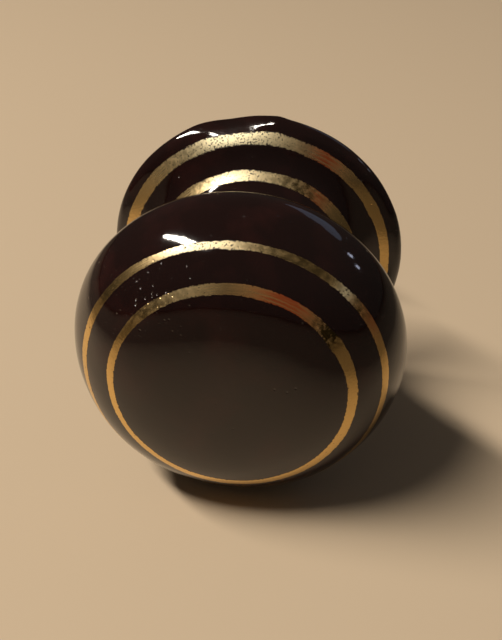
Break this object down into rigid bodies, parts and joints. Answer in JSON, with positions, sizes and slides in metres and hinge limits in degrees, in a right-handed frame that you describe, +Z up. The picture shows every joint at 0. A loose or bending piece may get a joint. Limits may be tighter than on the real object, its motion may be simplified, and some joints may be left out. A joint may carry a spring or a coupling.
{
  "type": "ceramic furniture knob",
  "caption": "Glazed ceramic mushroom knob with flared round base, gold band decoration and a machine screw with washer that fixes it through a panel from behind.",
  "frame": {"origin": "centre of the mounting face: the flat foot ring at the back of the flared base, on the knob's axis", "axes": "+Y along the knob's axis, out of the mounting face towards the panel and the screw's head, so the domed face looks along -Y; +Z up, with the axis level, as on a door front or with the knob lying on its side on its two equal rims; +X completes the right-handed frame"},
  "size_m": [0.038, 0.0546, 0.038],
  "materials": {
    "treacle_glaze": "gloss",
    "fired_gold": "satin",
    "plaster": "matte",
    "turned_brass": "satin",
    "nitrile_rubber": "matte",
    "zinc_plated_steel": "satin"
  },
  "bodies": {
    "knob": {"knob_body": "treacle_glaze", "face_gilt_band": "fired_gold", "shoulder_gilt_band": "fired_gold", "neck_gilt_band": "fired_gold", "base_gilt_band": "fired_gold", "insert_bedding": "plaster", "threaded_insert": "turned_brass", "cushion_washer": "nitrile_rubber"},
    "washer": {"flat_washer": "zinc_plated_steel"},
    "screw": {"fixing_screw": "zinc_plated_steel"}
  },
  "joints": [
    {"name": "screw_feed", "type": "slide", "parent": "knob", "child": "washer", "axis": [0, 1, 0], "range_m": [-0.002, 0.0095]},
    {"name": "screw_turn", "type": "hinge", "parent": "washer", "child": "screw", "pos_m": [0, 0, 0], "axis": [0, 1, 0], "range_deg": [-1031, 4888]}
  ],
  "couplings": [
    {"joint": "screw_turn", "follows": "screw_feed", "rad_per_m": 8976}
  ]
}
